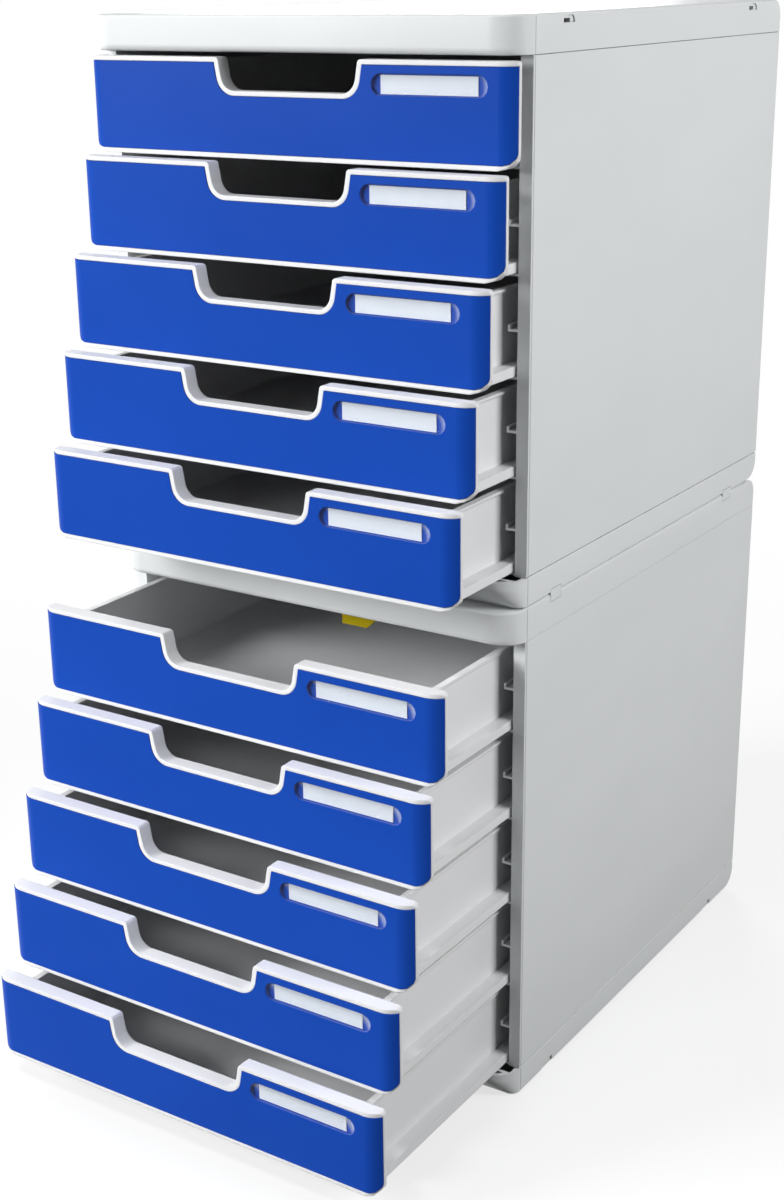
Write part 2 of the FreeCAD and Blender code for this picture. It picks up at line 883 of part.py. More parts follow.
def front_plate():
    """Coloured plate: wraps both corners, cut out for the thumb and sunk for the label."""
    low = lowest_front + front_rim
    high = lowest_front + front_height - front_rim
    plate = upright(wrapped_band(), low, high)
    before = front_y - cut_overrun
    behind = front_y + front_corner_radius
    plate = plate.common(front_prism(plate_outline(0), before, behind))
    holder = front_prism(stadium(holder_width, holder_height, holder_centre, holder_z()),
                         before, front_y + holder_depth)
    return plate.cut(holder)


def label_card():
    """Paper label on the floor of the holder."""
    low = holder_z() - holder_height / 2 + card_edge_inset
    high = holder_z() + holder_height / 2 - card_edge_inset
    floor_y = front_y + holder_depth
    left = holder_left + card_end_inset - card_offset
    right = holder_right - card_end_inset - card_offset
    return box(left, right, floor_y - card_thickness, floor_y, low, high)


def label_window():
    """Clear cover over the label."""
    back_y = front_y + holder_depth - card_thickness
    width = holder_width - fit_clearance * 2
    height = holder_height - fit_clearance * 2
    return front_prism(stadium(width, height, holder_centre, holder_z()), back_y - window_thickness, back_y)


def placed(shape, x, y, z):
    """Copy of a shape moved from where it was built."""
    moved = shape.copy()
    moved.translate(vector(x, y, z))
    return moved


os.makedirs("parts", exist_ok=True)
nodes = {}

# Casings: the parts of one module, raised for the upper one
right_panel = side_panel()
left_panel = mirrored(right_panel)
back = back_panel()
catches = {"lower": hanging_catch(), "upper": folded_catch()}
for level, name in enumerate(("lower", "upper")):
    lift = level * stack_pitch
    on_top = level == module_count - 1
    nodes[name + "_base"] = placed(base(level > 0), 0, 0, lift)
    nodes[name + "_lid"] = placed(lid(not on_top), 0, 0, lift)
    nodes[name + "_side_right"] = placed(right_panel, 0, 0, lift)
    nodes[name + "_side_left"] = placed(left_panel, 0, 0, lift)
    nodes[name + "_back"] = placed(back, 0, 0, lift)
    nodes[name + "_catch"] = placed(catches[name], 0, 0, lift)
nodes["stacking_clips"] = stacking_clips()

# Drawers: one set of pieces, repeated in every bay at its own opening
drawer_pieces = {"tray": tray(), "plate": front_plate(), "window": label_window(), "label": label_card()}
for number, opening in enumerate(rest_openings):
    level, row = divmod(number, bay_count)
    name = ("upper", "lower")[level]
    lift = (module_count - 1 - level) * stack_pitch + (bay_count - 1 - row) * bay_pitch
    for kind, shape in drawer_pieces.items():
        nodes[f"{name}_{kind}_{row + 1}"] = placed(shape, 0, -opening, lift)

for name, shape in nodes.items():
    shape.exportStep(f"parts/{name}.step")
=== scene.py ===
"""Stack of two drawer modules for papers and craft supplies, dressed and lit for its studio picture.

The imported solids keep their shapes. They get moulded plastic finishes and broken edges, and the label covers
of the drawers are worked out here as surfaces with their finger grips.
"""
from __future__ import annotations

import logging
import math
from dataclasses import dataclass, field
from enum import Enum
from typing import Protocol

import bmesh
import bpy
import numpy as np
from mathutils import Matrix, Vector

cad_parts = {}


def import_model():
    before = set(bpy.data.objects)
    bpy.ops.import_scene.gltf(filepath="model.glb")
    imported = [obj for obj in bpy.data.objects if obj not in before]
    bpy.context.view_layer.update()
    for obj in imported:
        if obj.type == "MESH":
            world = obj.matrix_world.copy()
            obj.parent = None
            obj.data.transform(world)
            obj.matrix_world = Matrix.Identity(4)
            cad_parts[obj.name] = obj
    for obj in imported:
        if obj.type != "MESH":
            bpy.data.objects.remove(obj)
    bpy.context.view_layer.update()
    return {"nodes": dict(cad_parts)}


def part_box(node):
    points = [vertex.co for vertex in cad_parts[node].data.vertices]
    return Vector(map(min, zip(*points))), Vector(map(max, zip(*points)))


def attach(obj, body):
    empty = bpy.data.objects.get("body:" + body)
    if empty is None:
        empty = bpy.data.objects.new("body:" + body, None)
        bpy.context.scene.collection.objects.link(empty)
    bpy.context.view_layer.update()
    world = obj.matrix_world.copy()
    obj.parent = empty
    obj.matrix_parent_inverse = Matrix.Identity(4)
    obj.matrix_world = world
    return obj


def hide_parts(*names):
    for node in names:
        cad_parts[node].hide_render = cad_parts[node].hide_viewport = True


LOG = logging.getLogger("drawer_stack")

MM = 0.001
WELD_DISTANCE = 0.01 * MM
SHARP_ANGLE = math.radians(50)
DRAWER_COUNT = 5

# Where a noise has most of its values, and the span of a mask
NOISE_SPAN = (0.3, 0.7)
MASK_SPAN = (0.0, 1.0)


class Level(Enum):
    """The two modules of the stack."""

    UPPER = "upper"
    LOWER = "lower"


class Socket(Enum):
    """Kinds of socket on a node group."""

    NUMBER = "NodeSocketFloat"
    COLOUR = "NodeSocketColor"
    VECTOR = "NodeSocketVector"


# Shader graph helpers


@dataclass(frozen=True)
class Pattern:
    """A noise: its cycles per metre, the number of its finer layers and their strength."""

    scale: float
    detail: float = 2.0
    roughness: float = 0.5


@dataclass
class Graph:
    """A node tree with short calls for adding and joining nodes."""

    tree: bpy.types.NodeTree

    def add(self, kind: str, **values: object) -> bpy.types.Node:
        """Add a node and set its properties.

        Args:
            kind: Blender's type name of the node.
            values: Properties to set on the node.

        Returns:
            The new node.
        """
        node = self.tree.nodes.new(kind)
        for name, value in values.items():
            setattr(node, name, value)
        return node

    def join(self, source: bpy.types.NodeSocket, target: bpy.types.NodeSocket) -> None:
        """Link one socket to another."""
        self.tree.links.new(source, target)

    def noise(self, vector: bpy.types.NodeSocket, pattern: Pattern) -> bpy.types.NodeSocket:
        """Noise over the surface.

        Args:
            vector: Coordinates to read.
            pattern: Size and roughness of the noise.

        Returns:
            The socket with the noise value, about half in the mean.
        """
        node = self.add("ShaderNodeTexNoise")
        node.inputs["Scale"].default_value = pattern.scale
        node.inputs["Detail"].default_value = pattern.detail
        node.inputs["Roughness"].default_value = pattern.roughness
        self.join(vector, node.inputs["Vector"])
        return node.outputs["Fac"]

    def span(self, value: bpy.types.NodeSocket, source: tuple[float, float],
             target: tuple[float, float]) -> bpy.types.NodeSocket:
        """Carry a value from one span to another, held at the ends.

        Args:
            value: The socket to read.
            source: Lowest and highest value read.
            target: The values they become.

        Returns:
            The socket with the carried value.
        """
        node = self.add("ShaderNodeMapRange")
        for name, number in zip(("From Min", "From Max", "To Min", "To Max"), source + target):
            node.inputs[name].default_value = number
        self.join(value, node.inputs["Value"])
        return node.outputs["Result"]

    def math(self, operation: str, first: bpy.types.NodeSocket,
             second: bpy.types.NodeSocket | float) -> bpy.types.NodeSocket:
        """Arithmetic on two values.

        Args:
            operation: Name of the operation.
            first: First operand.
            second: Second operand, a socket or a number.

        Returns:
            The socket with the result.
        """
        node = self.add("ShaderNodeMath", operation=operation)
        self.join(first, node.inputs[0])
        if isinstance(second, (int, float)):
            node.inputs[1].default_value = second
        else:
            self.join(second, node.inputs[1])
        return node.outputs["Value"]

    def blend(self, factor: bpy.types.NodeSocket, first: bpy.types.NodeSocket | tuple[float, ...],
              second: tuple[float, ...]) -> bpy.types.NodeSocket:
        """Colour between two colours.

        Args:
            factor: 0 for the first colour and 1 for the second.
            first: Linear red, green and blue, or a socket with a colour.
            second: Linear red, green and blue.

        Returns:
            The socket with the colour.
        """
        node = self.add("ShaderNodeMix", data_type="RGBA")
        colour_in = [socket for socket in node.inputs if socket.type == "RGBA"]
        if isinstance(first, tuple):
            colour_in[0].default_value = (*first, 1.0)
        else:
            self.join(first, colour_in[0])
        colour_in[1].default_value = (*second, 1.0)
        self.join(factor, node.inputs[0])
        return [socket for socket in node.outputs if socket.type == "RGBA"][0]

    def stretched(self, scale: tuple[float, float, float],
                  turn: tuple[float, float, float] = (0.0, 0.0, 0.0),
                  vector: bpy.types.NodeSocket | None = None) -> bpy.types.NodeSocket:
        """Coordinates stretched and turned for a pattern.

        Args:
            scale: Stretch along each axis.
            turn: Angles about each axis in radians.
            vector: Coordinates to read, or None for those of the piece.

        Returns:
            The socket with the coordinates.
        """
        node = self.add("ShaderNodeMapping")
        node.inputs["Scale"].default_value = scale
        node.inputs["Rotation"].default_value = turn
        self.join(self.own_place() if vector is None else vector, node.inputs["Vector"])
        return node.outputs["Vector"]

    def own_place(self) -> bpy.types.NodeSocket:
        """Coordinates of the piece itself."""
        return self.add("ShaderNodeTexCoord").outputs["Object"]

    def bump(self, height: bpy.types.NodeSocket, strength: float, distance: float) -> bpy.types.Node:
        """Bump from a height.

        Args:
            height: The socket with the height.
            strength: Share of the bump that shows.
            distance: Height of the full bump in metres.

        Returns:
            The bump node.
        """
        node = self.add("ShaderNodeBump")
        node.inputs["Strength"].default_value = strength
        node.inputs["Distance"].default_value = distance
        self.join(height, node.inputs["Height"])
        return node


class SurfaceEffects:
    """Node groups that several finishes share."""

    grain_detail: float = 3.0
    grain_roughness: float = 0.6
    pit_share: float = 0.6
    flow: Pattern = Pattern(9.0, 3.0, 0.55)
    flow_stretch: tuple[float, float, float] = (1.0, 0.35, 1.0)
    gloss: Pattern = Pattern(34.0, 4.0, 0.6)
    crevice_samples: int = 6
    # painted shade in crevices: occlusion samples, the span of occlusion that darkens, and the noise that
    # breaks it up
    crevice_span: tuple[float, float] = (0.35, 0.8)
    shade_breakup: Pattern = Pattern(90.0, 3.0)
    shade_breakup_share: tuple[float, float] = (0.7, 1.0)
    hair: Pattern = Pattern(420.0, 2.0, 0.7)
    hair_stretch: tuple[float, float, float] = (1.0, 0.06, 2.4)
    hair_turn: tuple[float, float, float] = (0.2, 0.1, 0.35)
    hair_span: tuple[float, float] = (0.66, 0.78)
    patch: Pattern = Pattern(14.0)
    patch_span: tuple[float, float] = (0.5, 0.72)
    upward_span: tuple[float, float] = (0.5, 1.0)
    specks: Pattern = Pattern(260.0, 5.0, 0.75)
    speck_span: tuple[float, float] = (0.5, 0.8)

    def __init__(self) -> None:
        """Build every group once."""
        self.mould = self._mould()
        self.use_marks_and_shade = self._use_marks_and_crevice_shade()

    @staticmethod
    def _group(name: str, inputs: dict[str, Socket], outputs: dict[str, Socket]) -> tuple[
            Graph, bpy.types.Node, bpy.types.Node]:
        """Start a group with named sockets.

        Args:
            name: Name of the group.
            inputs: Socket names and kinds.
            outputs: Socket names and kinds.

        Returns:
            The graph, its input node and its output node.
        """
        tree = bpy.data.node_groups.new(name, "ShaderNodeTree")
        for label, kind in inputs.items():
            tree.interface.new_socket(name=label, in_out="INPUT", socket_type=kind.value)
        for label, kind in outputs.items():
            tree.interface.new_socket(name=label, in_out="OUTPUT", socket_type=kind.value)
        graph = Graph(tree)
        return graph, graph.add("NodeGroupInput"), graph.add("NodeGroupOutput")

    def _mould(self) -> bpy.types.NodeTree:
        """Spark-eroded texture of a moulded part, its flow marks and the drift of its gloss.

        Returns:
            A group with Grain for the height of the texture, Flow for slow tone and Gloss for roughness.
        """
        graph, source, sink = self._group(
            "moulded_skin",
            {"Vector": Socket.VECTOR, "Grain Scale": Socket.NUMBER},
            {"Grain": Socket.NUMBER, "Flow": Socket.NUMBER, "Gloss": Socket.NUMBER})
        fine = graph.add("ShaderNodeTexNoise")
        fine.inputs["Detail"].default_value = self.grain_detail
        fine.inputs["Roughness"].default_value = self.grain_roughness
        graph.join(source.outputs["Vector"], fine.inputs["Vector"])
        graph.join(source.outputs["Grain Scale"], fine.inputs["Scale"])
        pits = graph.add("ShaderNodeTexVoronoi", feature="SMOOTH_F1")
        graph.join(source.outputs["Vector"], pits.inputs["Vector"])
        graph.join(source.outputs["Grain Scale"], pits.inputs["Scale"])
        grain = graph.math("ADD", fine.outputs["Fac"],
                           graph.math("MULTIPLY", pits.outputs["Distance"], self.pit_share))
        along = graph.stretched(self.flow_stretch, vector=source.outputs["Vector"])
        flow = graph.noise(along, self.flow)
        gloss = graph.noise(source.outputs["Vector"], self.gloss)
        graph.join(grain, sink.inputs["Grain"])
        graph.join(flow, sink.inputs["Flow"])
        graph.join(gloss, sink.inputs["Gloss"])
        return graph.tree

    def _use_marks_and_crevice_shade(self) -> bpy.types.NodeTree:
        """Marks of use: hairline rubs and a film of dust on faces that look up, with painted shade in joints
        and grooves where ambient occlusion finds nearby surfaces.

        Returns:
            A group with Rub and Dust masks and a mask of painted shade in crevices, all between 0 and 1.
        """
        graph, source, sink = self._group(
            "use_marks_and_crevice_shade", {"Vector": Socket.VECTOR, "Shade Reach": Socket.NUMBER},
            {"Rub": Socket.NUMBER, "Dust": Socket.NUMBER, "Crevice Shade": Socket.NUMBER})
        # painted shade: ambient occlusion darkens joints and grooves, broken up by noise
        crevice = graph.add("ShaderNodeAmbientOcclusion", samples=self.crevice_samples)
        graph.join(source.outputs["Shade Reach"], crevice.inputs["Distance"])
        crevice_shade = graph.span(crevice.outputs["AO"], self.crevice_span, MASK_SPAN[::-1])
        shade_breakup = graph.span(graph.noise(source.outputs["Vector"], self.shade_breakup), NOISE_SPAN, self.shade_breakup_share)
        graph.join(graph.math("MULTIPLY", crevice_shade, shade_breakup), sink.inputs["Crevice Shade"])
        along = graph.stretched(self.hair_stretch, self.hair_turn, source.outputs["Vector"])
        hair = graph.noise(along, self.hair)
        patch = graph.noise(source.outputs["Vector"], self.patch)
        rub = graph.math("MULTIPLY", graph.span(hair, self.hair_span, MASK_SPAN),
                         graph.span(patch, self.patch_span, MASK_SPAN))
        facing = graph.add("ShaderNodeSeparateXYZ")
        graph.join(graph.add("ShaderNodeNewGeometry").outputs["Normal"], facing.inputs["Vector"])
        upward = graph.span(facing.outputs["Z"], self.upward_span, MASK_SPAN)
        specks = graph.noise(source.outputs["Vector"], self.specks)
        dust = graph.math("MULTIPLY", upward, graph.span(specks, self.speck_span, MASK_SPAN))
        graph.join(rub, sink.inputs["Rub"])
        graph.join(dust, sink.inputs["Dust"])
        return graph.tree


# Finishes


class Finish(Protocol):
    """Anything that can make a Blender material."""

    def material(self, effects: SurfaceEffects) -> bpy.types.Material:
        """Make the material."""


def blank_material(name: str) -> tuple[bpy.types.Material, Graph, bpy.types.Node]:
    """Start a material.

    Args:
        name: Name of the material.

    Returns:
        The material, the graph of its nodes and its shader.
    """
    material = bpy.data.materials.new(name)
    material.use_nodes = True
    return material, Graph(material.node_tree), material.node_tree.nodes["Principled BSDF"]


@dataclass(frozen=True)
class MouldedPlastic:
    """Solid coloured plastic with the texture of its mould.

    The deep colour is where the plastic flowed last. Gloss drift is how far the roughness strays, grain scale
    is in pits per metre, and dust and rub are the strengths of those marks. The three fields after the edge
    radius set painted shade in joints and grooves: its strength, its dark colour and its occlusion reach.
    """

    name: str
    colour: tuple[float, float, float]
    deep_colour: tuple[float, float, float]
    roughness: float
    gloss_drift: float
    grain_scale: float
    grain_height: float
    dust: float
    rub: float
    specular: float
    edge_radius: float
    # painted shade in joints and grooves: strength, dark colour and occlusion reach
    crevice_shade: float = 0.0
    crevice_shade_colour: tuple[float, float, float] = (0.05, 0.05, 0.05)
    crevice_shade_reach: float = 1.2 * MM
    grain_strength: float = 0.35
    edge_samples: int = 4

    def material(self, effects: SurfaceEffects) -> bpy.types.Material:
        """Make the material.

        Args:
            effects: The shared node groups.

        Returns:
            A material whose tone, gloss and grain vary over the surface.
        """
        material, graph, shader = blank_material(self.name)
        place = graph.own_place()
        skin = graph.add("ShaderNodeGroup", node_tree=effects.mould)
        skin.inputs["Grain Scale"].default_value = self.grain_scale
        graph.join(place, skin.inputs["Vector"])
        marks = graph.add("ShaderNodeGroup", node_tree=effects.use_marks_and_shade)
        graph.join(place, marks.inputs["Vector"])
        marks.inputs["Shade Reach"].default_value = self.crevice_shade_reach
        tone = graph.span(skin.outputs["Flow"], NOISE_SPAN, MASK_SPAN)
        tone = graph.math("ADD", tone, graph.math("MULTIPLY", marks.outputs["Dust"], self.dust))
        colour = graph.blend(tone, self.colour, self.deep_colour)
        # painted shade: the colour darkens towards a dark grey in joints and grooves
        if self.crevice_shade > 0:
            crevice_shade = graph.math("MULTIPLY", marks.outputs["Crevice Shade"], self.crevice_shade)
            colour = graph.blend(crevice_shade, colour, self.crevice_shade_colour)
        graph.join(colour, shader.inputs["Base Color"])
        gloss = graph.span(skin.outputs["Gloss"], NOISE_SPAN,
                           (self.roughness - self.gloss_drift, self.roughness + self.gloss_drift))
        gloss = graph.math("SUBTRACT", gloss, graph.math("MULTIPLY", marks.outputs["Rub"], self.rub))
        graph.join(gloss, shader.inputs["Roughness"])
        edge = graph.add("ShaderNodeBevel", samples=self.edge_samples)
        edge.inputs["Radius"].default_value = self.edge_radius
        bump = graph.bump(skin.outputs["Grain"], self.grain_strength, self.grain_height)
        graph.join(edge.outputs["Normal"], bump.inputs["Normal"])
        graph.join(bump.outputs["Normal"], shader.inputs["Normal"])
        shader.inputs["Specular IOR Level"].default_value = self.specular
        return material


@dataclass(frozen=True)
class ClearPlastic:
    """Clear cover over the label.

    The shares say how much of the cover itself shows where it is seen straight on and from the side; the white
    it shows from the side is painted sheen, beside the real gloss of its surface.
    """

    name: str
    tint: tuple[float, float, float]
    roughness: float
    face_share: float
    edge_share: float
    pale_tint: tuple[float, float, float] = (0.95, 0.98, 1.0)
    clouds: Pattern = Pattern(60.0)
    rub: float = 0.1
    facing_blend: float = 0.5
    facing_span: tuple[float, float] = (0.3, 0.75)

    def material(self, effects: SurfaceEffects) -> bpy.types.Material:
        """Make the material.

        Args:
            effects: The shared node groups.

        Returns:
            A clear material that shows what lies behind it and grows whiter where its face turns away, a
            painted sheen.
        """
        material, graph, shader = blank_material(self.name)
        place = graph.own_place()
        marks = graph.add("ShaderNodeGroup", node_tree=effects.use_marks_and_shade)
        graph.join(place, marks.inputs["Vector"])
        cloud = graph.noise(place, self.clouds)
        graph.join(graph.blend(cloud, self.tint, self.pale_tint), shader.inputs["Base Color"])
        rub = graph.math("MULTIPLY", marks.outputs["Rub"], self.rub)
        graph.join(graph.math("ADD", rub, self.roughness), shader.inputs["Roughness"])
        # painted sheen: the cover grows more opaque and whiter where its face turns from the eye
        weight = graph.add("ShaderNodeLayerWeight")
        weight.inputs["Blend"].default_value = self.facing_blend
        shares = (self.face_share, self.edge_share)
        graph.join(graph.span(weight.outputs["Facing"], self.facing_span, shares), shader.inputs["Alpha"])
        return material


@dataclass(frozen=True)
class CardStock:
    """White label card with paper fibres."""

    name: str
    colour: tuple[float, float, float]
    shade: tuple[float, float, float]
    specular: float = 0.25
    fibre_stretch: tuple[float, float, float] = (0.4, 1.0, 1.6)
    fibres: Pattern = Pattern(1800.0, 4.0, 0.7)
    fibre_span: tuple[float, float] = (0.1, 0.45)
    fibre_height: float = 0.04 * MM
    fibre_strength: float = 0.3
    clouds: Pattern = Pattern(70.0, 3.0)
    roughness_span: tuple[float, float] = (0.72, 0.86)

    def material(self, effects: SurfaceEffects) -> bpy.types.Material:
        """Make the material.

        Args:
            effects: The shared node groups, not used by the card.

        Returns:
            A matt material with short fibres in its tone and height.
        """
        material, graph, shader = blank_material(self.name)
        shader.inputs["Specular IOR Level"].default_value = self.specular
        fibres = graph.noise(graph.stretched(self.fibre_stretch), self.fibres)
        cloud = graph.noise(graph.own_place(), self.clouds)
        tone = graph.span(graph.math("MULTIPLY", fibres, cloud), self.fibre_span, MASK_SPAN)
        graph.join(graph.blend(tone, self.shade, self.colour), shader.inputs["Base Color"])
        graph.join(graph.span(cloud, NOISE_SPAN, self.roughness_span), shader.inputs["Roughness"])
        bump = graph.bump(fibres, self.fibre_strength, self.fibre_height)
        graph.join(bump.outputs["Normal"], shader.inputs["Normal"])
        return material


# The casing alone carries painted shade in its seams and grooves.
CASING = MouldedPlastic(
    name="casing_light_grey", colour=(0.70, 0.72, 0.725), deep_colour=(0.66, 0.68, 0.685),
    roughness=0.42, gloss_drift=0.05, grain_scale=2600.0, grain_height=0.06 * MM, dust=0.12, rub=0.08,
    specular=0.15, edge_radius=0.25 * MM, crevice_shade=0.8)
TRAY = MouldedPlastic(
    name="tray_off_white", colour=(0.765, 0.77, 0.78), deep_colour=(0.725, 0.73, 0.74),
    roughness=0.34, gloss_drift=0.05, grain_scale=2200.0, grain_height=0.04 * MM, dust=0.15, rub=0.06,
    specular=0.15, edge_radius=0.9 * MM)
FRONT = MouldedPlastic(
    name="front_blue", colour=(0.0075, 0.060, 0.388), deep_colour=(0.0063, 0.054, 0.362),
    roughness=0.36, gloss_drift=0.04, grain_scale=3000.0, grain_height=0.03 * MM, dust=0.0, rub=0.03,
    specular=0.05, edge_radius=0.35 * MM)
CATCH = MouldedPlastic(
    name="catch_yellow", colour=(0.39, 0.305, 0.003), deep_colour=(0.36, 0.28, 0.0025),
    roughness=0.4, gloss_drift=0.05, grain_scale=2200.0, grain_height=0.04 * MM, dust=0.1, rub=0.06,
    specular=0.1, edge_radius=0.4 * MM)
COVER = ClearPlastic(name="label_cover_clear", tint=(0.80, 0.90, 1.0), roughness=0.05, face_share=0.01,
                     edge_share=0.3)
CARD = CardStock(name="label_card_white", colour=(0.66, 0.70, 0.755), shade=(0.60, 0.64, 0.70))


# Surfaces


def grid_faces(rows: int, columns: int, closed: bool) -> np.ndarray:
    """Quads of a grid of points numbered row by row.

    Args:
        rows: Number of rows.
        columns: Number of points in a row.
        closed: True when each row joins its own end.

    Returns:
        An array of four point numbers per quad.
    """
    across = columns if closed else columns - 1
    row, column = np.meshgrid(np.arange(rows - 1), np.arange(across), indexing="ij")
    following = (column + 1) % columns
    quads = (row * columns + column, row * columns + following,
             (row + 1) * columns + following, (row + 1) * columns + column)
    return np.stack(quads, axis=-1).reshape(-1, 4)


@dataclass
class MeshDraft:
    """Points and faces gathered before they become one mesh."""

    points: list[np.ndarray] = field(default_factory=list)
    faces: list[np.ndarray] = field(default_factory=list)
    count: int = 0

    def surface(self, points: np.ndarray, closed: bool) -> None:
        """Add a grid of points, given as rows by columns by three."""
        rows, columns = points.shape[:2]
        self.points.append(points.reshape(-1, 3))
        self.faces.append(grid_faces(rows, columns, closed) + self.count)
        self.count += rows * columns

    def build(self, name: str) -> bpy.types.Object:
        """Make the object.

        Args:
            name: Name of the object and its mesh.

        Returns:
            An object at the origin, its doubles merged and its faces turned outwards.
        """
        mesh = bpy.data.meshes.new(name)
        mesh.from_pydata(np.concatenate(self.points).tolist(), [], np.concatenate(self.faces).tolist())
        shape = bmesh.new()
        shape.from_mesh(mesh)
        bmesh.ops.remove_doubles(shape, verts=shape.verts, dist=WELD_DISTANCE)
        bmesh.ops.recalc_face_normals(shape, faces=shape.faces)
        shape.to_mesh(mesh)
        shape.free()
        mesh.shade_smooth()
        obj = bpy.data.objects.new(name, mesh)
        bpy.context.scene.collection.objects.link(obj)
        return obj


@dataclass
class LabelCover:
    """Clear cover in the holder of one drawer front, with ridges for a fingernail at its ends.

    Air is the gap behind the cover, and sink is how far its face lies behind the raised bead. The edge is
    the radius of its front edge, whose middle step lies at a share of it. Bead slope is where the face
    starts, as a share of the width of the bead.
    """

    level: Level
    row: int
    air: float = 0.06 * MM
    sink: float = 0.14 * MM
    bead: float = 0.55 * MM
    bead_slope_share: float = 1.3
    edge: float = 0.25 * MM
    edge_step_share: float = 0.3
    around: int = 40
    grip_inset: float = 5.6 * MM
    grip_radii: tuple[float, ...] = (2.3 * MM, 3.2 * MM, 4.1 * MM)
    grip_height: float = 0.12 * MM
    grip_width: float = 0.26 * MM
    grip_half_angle: float = math.radians(48)
    grip_stations: int = 17
    grip_steps: int = 7

    @property
    def node(self) -> str:
        """Name of the solid that the cover stands for."""
        return f"{self.level.value}_window_{self.row}"

    def rings(self, low: Vector, high: Vector) -> np.ndarray:
        """Cover as rings of a bar with round ends, each ring moved in and set at its own depth.

        A point on a ring is (s a + r cos t, z + r sin t), where a is half the straight length, s is the
        sign of cos t, and r is the end radius less how far the ring has moved in. The rings run from the
        back edge over the rounded front edge and the raised bead to the middle line, where r is 0.

        Args:
            low: Lowest corner of the solid.
            high: Highest corner of the solid.

        Returns:
            Points as rings by points by three.
        """
        centre = (low + high) / 2
        radius = (high.z - low.z) / 2
        half_straight = (high.x - low.x) / 2 - radius
        back = high.y - self.air
        face = low.y + self.sink
        step = self.edge_step_share * self.edge
        inset = np.array([radius, 0.0, 0.0, step, self.edge, self.bead, self.bead * self.bead_slope_share,
                          radius])
        depth = np.array([back, back, low.y + self.edge, low.y + step, low.y, low.y, face, face])
        turn = (np.arange(self.around) + 0.5) * 2 * math.pi / self.around
        reach = (radius - inset)[:, None]
        x = centre.x + np.sign(np.cos(turn)) * half_straight + reach * np.cos(turn)
        z = centre.z + reach * np.sin(turn)
        y = np.repeat(depth[:, None], self.around, axis=1)
        return np.stack((x, y, z), axis=-1)

    def ridge(self, centre: Vector, radius: float, side: int) -> np.ndarray:
        """One curved ridge: half an ellipse carried along an arc of a circle.

        A point is centre + (radius + w cos v) (cos u, sin u) in the front plane, and it stands out by
        h sin v, with u along the arc and v over the ellipse of half width w and height h, which dies
        out at both ends of the arc with the root of a cosine.

        Args:
            centre: Middle of the arc on the face of the cover.
            radius: Radius of the arc.
            side: 1 for an arc open to the left, -1 for one open to the right.

        Returns:
            Points as stations by points by three.
        """
        share = np.linspace(-1, 1, self.grip_stations)[:, None]
        over = np.linspace(0, math.pi, self.grip_steps)[None, :]
        fade = np.cos(share * math.pi / 2) ** 0.5
        reach = radius + self.grip_width / 2 * fade * np.cos(over)
        angle = share * self.grip_half_angle
        x = centre.x + side * reach * np.cos(angle)
        z = centre.z + reach * np.sin(angle)
        y = centre.y - self.grip_height * fade * np.sin(over)
        return np.stack((x, y, z), axis=-1)

    def build(self, material: bpy.types.Material) -> bpy.types.Object:
        """Make the cover in place of its solid.

        Args:
            material: Finish of the cover.

        Returns:
            The cover, riding on its drawer.
        """
        low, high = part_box(self.node)
        draft = MeshDraft()
        draft.surface(self.rings(low, high), True)
        face = low.y + self.sink
        middle = (low.z + high.z) / 2
        right = Vector((high.x - self.grip_inset, face, middle))
        left = Vector((low.x + self.grip_inset, face, middle))
        for radius in self.grip_radii:
            draft.surface(self.ridge(right, radius, 1), False)
        draft.surface(self.ridge(left, self.grip_radii[-1], -1), False)
        cover = draft.build(f"{self.level.value}_label_cover_{self.row}")
        cover.data.materials.append(material)
        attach(cover, f"drawer_{self.level.value}_{self.row}")
        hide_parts(self.node)
        return cover


@dataclass
class Drawer:
    """One drawer: moulded tray, coloured front, label and its cover."""

    level: Level
    row: int
    nodes: dict[str, bpy.types.Object]

    def dress(self, wardrobe: Wardrobe) -> list[str]:
        """Give each piece its finish and build the cover.

        Args:
            wardrobe: The finishes.

        Returns:
            Names of the dressed pieces.
        """
        names = []
        for kind, finish in (("tray", TRAY), ("plate", FRONT), ("label", CARD)):
            name = f"{self.level.value}_{kind}_{self.row}"
            wardrobe.wear(self.nodes[name], finish)
            names.append(name)
        names.append(LabelCover(self.level, self.row).build(wardrobe.material(COVER)).name)
        return names


@dataclass
class Casing:
    """Casing of one module with its hanging catch."""

    level: Level
    nodes: dict[str, bpy.types.Object]
    shell_kinds: tuple[str, ...] = ("base", "lid", "side_right", "side_left", "back")

    def dress(self, wardrobe: Wardrobe) -> list[str]:
        """Give each piece its finish.

        Args:
            wardrobe: The finishes.

        Returns:
            Names of the dressed pieces.
        """
        names = [f"{self.level.value}_{kind}" for kind in self.shell_kinds]
        for name in names:
            wardrobe.wear(self.nodes[name], CASING)
        catch = f"{self.level.value}_catch"
        wardrobe.wear(self.nodes[catch], CATCH)
        return names + [catch]


